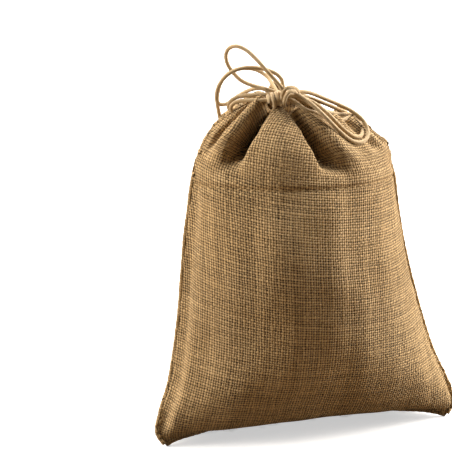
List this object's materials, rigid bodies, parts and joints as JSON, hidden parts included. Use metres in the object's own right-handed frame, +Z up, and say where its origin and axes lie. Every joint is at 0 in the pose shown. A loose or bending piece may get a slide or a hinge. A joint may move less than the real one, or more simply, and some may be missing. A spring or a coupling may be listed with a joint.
{
  "type": "drawstring gift pouch",
  "caption": "Filled woven jute pouch standing upright, drawn shut by two cords in a hem casing and tied in front with a double bow.",
  "frame": {"origin": "on the resting surface, under the middle of the pouch", "axes": "+Z up to the mouth; -Y is the front, where the bow is tied; +X to the right as seen from the front"},
  "size_m": [0.1942, 0.1013, 0.2415],
  "materials": {
    "jute_cloth": "coarse plain weave, matt",
    "cotton_cord": "soft twisted cord, matt",
    "sewing_thread": "fine spun thread, matt"
  },
  "bodies": {
    "pouch": {"front_panel": "jute_cloth", "back_panel": "jute_cloth", "front_hem_facing": "jute_cloth", "back_hem_facing": "jute_cloth", "front_casing": "jute_cloth", "back_casing": "jute_cloth", "left_side_seam": "jute_cloth", "right_side_seam": "jute_cloth", "bottom_seam": "jute_cloth", "left_seam_thread": "sewing_thread", "right_seam_thread": "sewing_thread", "bottom_seam_thread": "sewing_thread", "front_hem_thread": "sewing_thread", "back_hem_thread": "sewing_thread", "left_drawstring_run": "cotton_cord", "right_drawstring_run": "cotton_cord", "left_strand_front": "cotton_cord", "left_strand_back": "cotton_cord", "right_strand_front": "cotton_cord", "right_strand_back": "cotton_cord", "bow_knot": "cotton_cord"},
    "left_loops": {"left_loop_upper": "cotton_cord", "left_loop_lower": "cotton_cord"},
    "right_loops": {"right_loop_upper": "cotton_cord", "right_loop_lower": "cotton_cord"},
    "left_tails": {"left_tail_outer": "cotton_cord", "left_tail_inner": "cotton_cord", "left_end_knot": "cotton_cord"},
    "right_tails": {"right_tail_outer": "cotton_cord", "right_tail_inner": "cotton_cord", "right_end_knot": "cotton_cord"}
  },
  "joints": [
    {"name": "left_loops_lift", "type": "hinge", "parent": "pouch", "child": "left_loops", "pos_m": [-0.019, -0.012, 0.211], "axis": [0, 1, 0], "range_deg": [0, 30]},
    {"name": "right_loops_lift", "type": "hinge", "parent": "pouch", "child": "right_loops", "pos_m": [-0.019, -0.012, 0.211], "axis": [0, -1, 0], "range_deg": [0, 45]},
    {"name": "left_tails_swing", "type": "hinge", "parent": "pouch", "child": "left_tails", "pos_m": [-0.019, -0.012, 0.211], "axis": [0, 1, 0], "range_deg": [0, 25]},
    {"name": "right_tails_swing", "type": "hinge", "parent": "pouch", "child": "right_tails", "pos_m": [-0.019, -0.012, 0.211], "axis": [0, -1, 0], "range_deg": [0, 25]}
  ]
}
